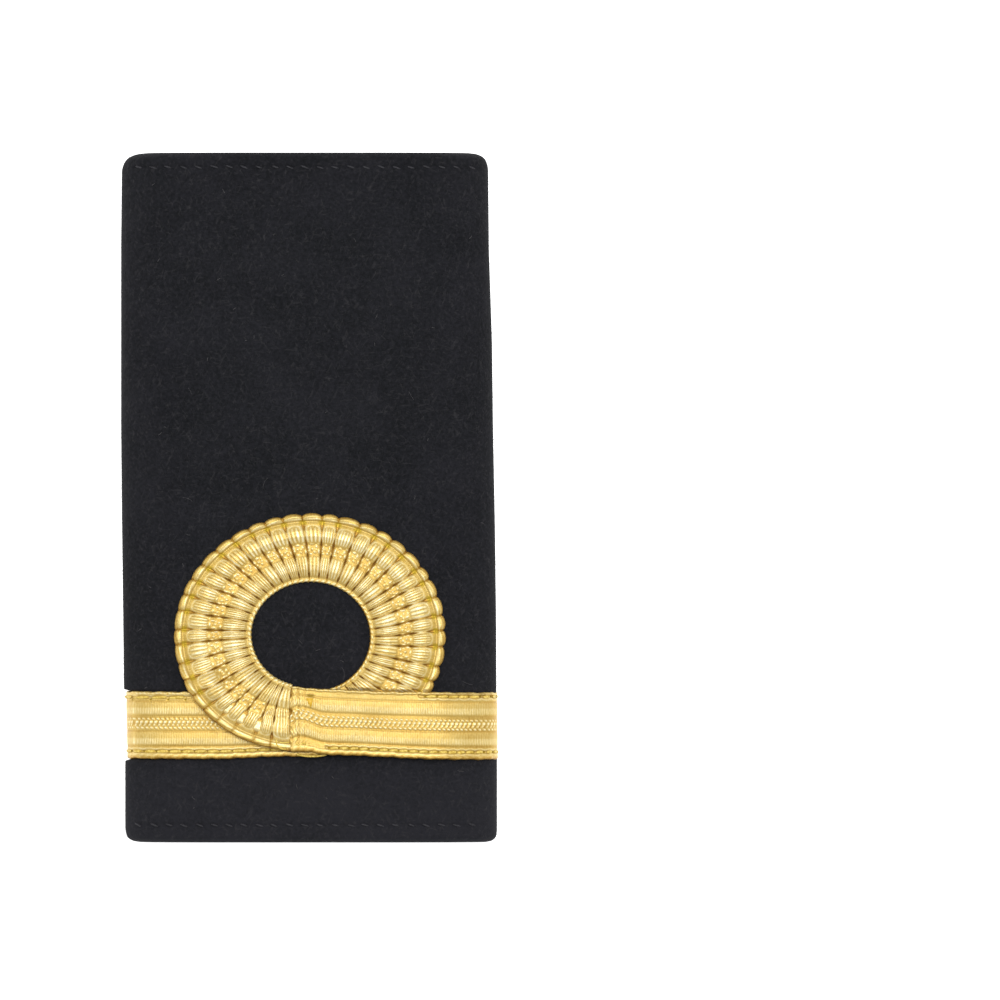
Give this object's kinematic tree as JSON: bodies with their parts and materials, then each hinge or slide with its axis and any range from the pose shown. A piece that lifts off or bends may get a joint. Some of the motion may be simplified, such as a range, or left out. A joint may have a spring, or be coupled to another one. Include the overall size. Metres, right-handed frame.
{
  "type": "shoulder slide with gold lace curl",
  "caption": "Flat dark wool tube for a shoulder strap, open at both ends, with a gold lace stripe that makes one gathered loop.",
  "frame": {"origin": "under the middle of the slide, on the plane that its back lies on", "axes": "+X across the slide, +Y along it towards the plain end, +Z out of the decorated face"},
  "size_m": [0.0546, 0.1, 0.0112],
  "materials": {
    "navy_wool": "matt felted navy-black wool cloth",
    "gold_thread": "woven gold-coloured thread with a silky shine"
  },
  "bodies": {
    "root": {"front_panel": "navy_wool", "back_panel": "navy_wool", "gold_lace": "gold_thread"}
  },
  "joints": []
}
